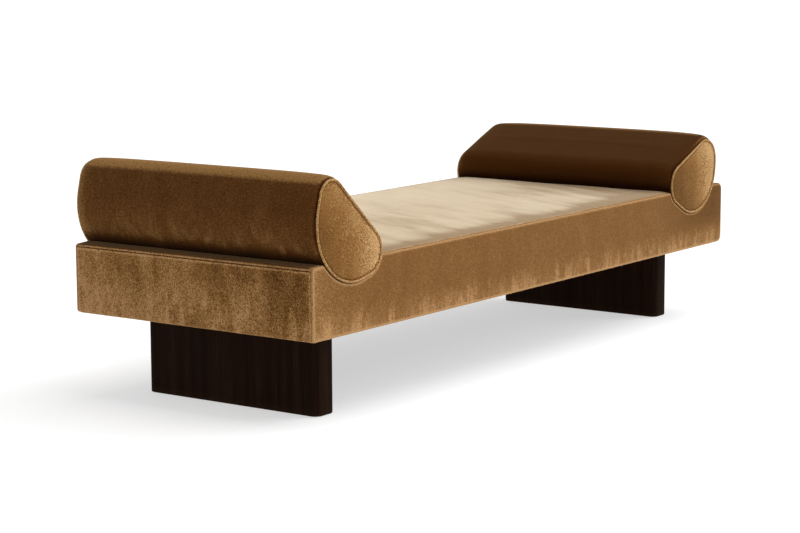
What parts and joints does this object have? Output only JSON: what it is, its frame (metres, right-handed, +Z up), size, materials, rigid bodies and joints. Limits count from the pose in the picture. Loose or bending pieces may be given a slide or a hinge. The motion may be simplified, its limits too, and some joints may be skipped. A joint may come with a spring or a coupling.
{
  "type": "daybed",
  "caption": "Low upholstered daybed in ochre velvet on slab legs, with a loose bolster lying in a cradle at each end of the seat.",
  "frame": {"origin": "on the floor, under the middle of the bed's length and depth", "axes": "+X along the length towards the lower bolster (right seen from the front), -Y towards the front long side, +Z up"},
  "size_m": [2.1, 0.8018, 0.6237],
  "materials": {
    "upholstery_velvet": "ochre mohair velvet with a strong nap sheen, lighter along edges and where the pile is crushed",
    "upholstery_foam": "cream polyurethane foam",
    "stained_legs": "near-black stained oak, satin, with a fine upright grain",
    "frame_timber": "planed softwood",
    "fastener_steel": "zinc-plated steel",
    "elastic_webbing": "black woven elastic webbing",
    "black_lining": "black non-woven lining cloth",
    "floor_felt": "dark brown pressed felt",
    "zip_tape": "brown zip tape with a fine coil"
  },
  "bodies": {
    "base": {"front_panel": "upholstery_velvet", "back_panel": "upholstery_velvet", "left_end_panel": "upholstery_velvet", "right_end_panel": "upholstery_velvet", "seat_top_panel": "upholstery_velvet", "left_cradle_lining": "upholstery_velvet", "right_cradle_lining": "upholstery_velvet", "front_rail": "frame_timber", "back_rail": "frame_timber", "left_end_rail": "frame_timber", "right_end_rail": "frame_timber", "cross_rail_left": "frame_timber", "cross_rail_middle": "frame_timber", "cross_rail_right": "frame_timber", "leg_bearer_left": "frame_timber", "leg_bearer_right": "frame_timber", "corner_block_front_left": "frame_timber", "corner_block_back_left": "frame_timber", "corner_block_front_right": "frame_timber", "corner_block_back_right": "frame_timber", "leg_bolt_front_left": "fastener_steel", "leg_bolt_front_right": "fastener_steel", "leg_bolt_middle_left": "fastener_steel", "leg_bolt_middle_right": "fastener_steel", "leg_bolt_back_left": "fastener_steel", "leg_bolt_back_right": "fastener_steel", "leg_insert_front_left": "fastener_steel", "leg_insert_front_right": "fastener_steel", "leg_insert_middle_left": "fastener_steel", "leg_insert_middle_right": "fastener_steel", "leg_insert_back_left": "fastener_steel", "leg_insert_back_right": "fastener_steel", "seat_foam": "upholstery_foam", "comfort_layer": "upholstery_foam", "front_edge_foam": "upholstery_foam", "back_edge_foam": "upholstery_foam", "left_edge_foam": "upholstery_foam", "right_edge_foam": "upholstery_foam", "leg_left": "stained_legs", "leg_right": "stained_legs", "felt_strip_left": "floor_felt", "felt_strip_right": "floor_felt", "webbing": "elastic_webbing", "insulator_felt": "black_lining", "dust_cover": "black_lining"},
    "bolster_left": {"bolster_core_left": "upholstery_foam", "bolster_cover_left": "upholstery_velvet", "bolster_end_front_left": "upholstery_velvet", "bolster_end_back_left": "upholstery_velvet", "bolster_welt_front_left": "upholstery_velvet", "bolster_welt_back_left": "upholstery_velvet", "bolster_zip_left": "zip_tape"},
    "bolster_right": {"bolster_core_right": "upholstery_foam", "bolster_cover_right": "upholstery_velvet", "bolster_end_front_right": "upholstery_velvet", "bolster_end_back_right": "upholstery_velvet", "bolster_welt_front_right": "upholstery_velvet", "bolster_welt_back_right": "upholstery_velvet", "bolster_zip_right": "zip_tape"}
  },
  "joints": [
    {"name": "bolster_left_lift", "type": "slide", "parent": "base", "child": "bolster_left", "axis": [0, 0, 1], "range_m": [0, 0.25]},
    {"name": "bolster_right_lift", "type": "slide", "parent": "base", "child": "bolster_right", "axis": [0, 0, 1], "range_m": [0, 0.25]}
  ]
}
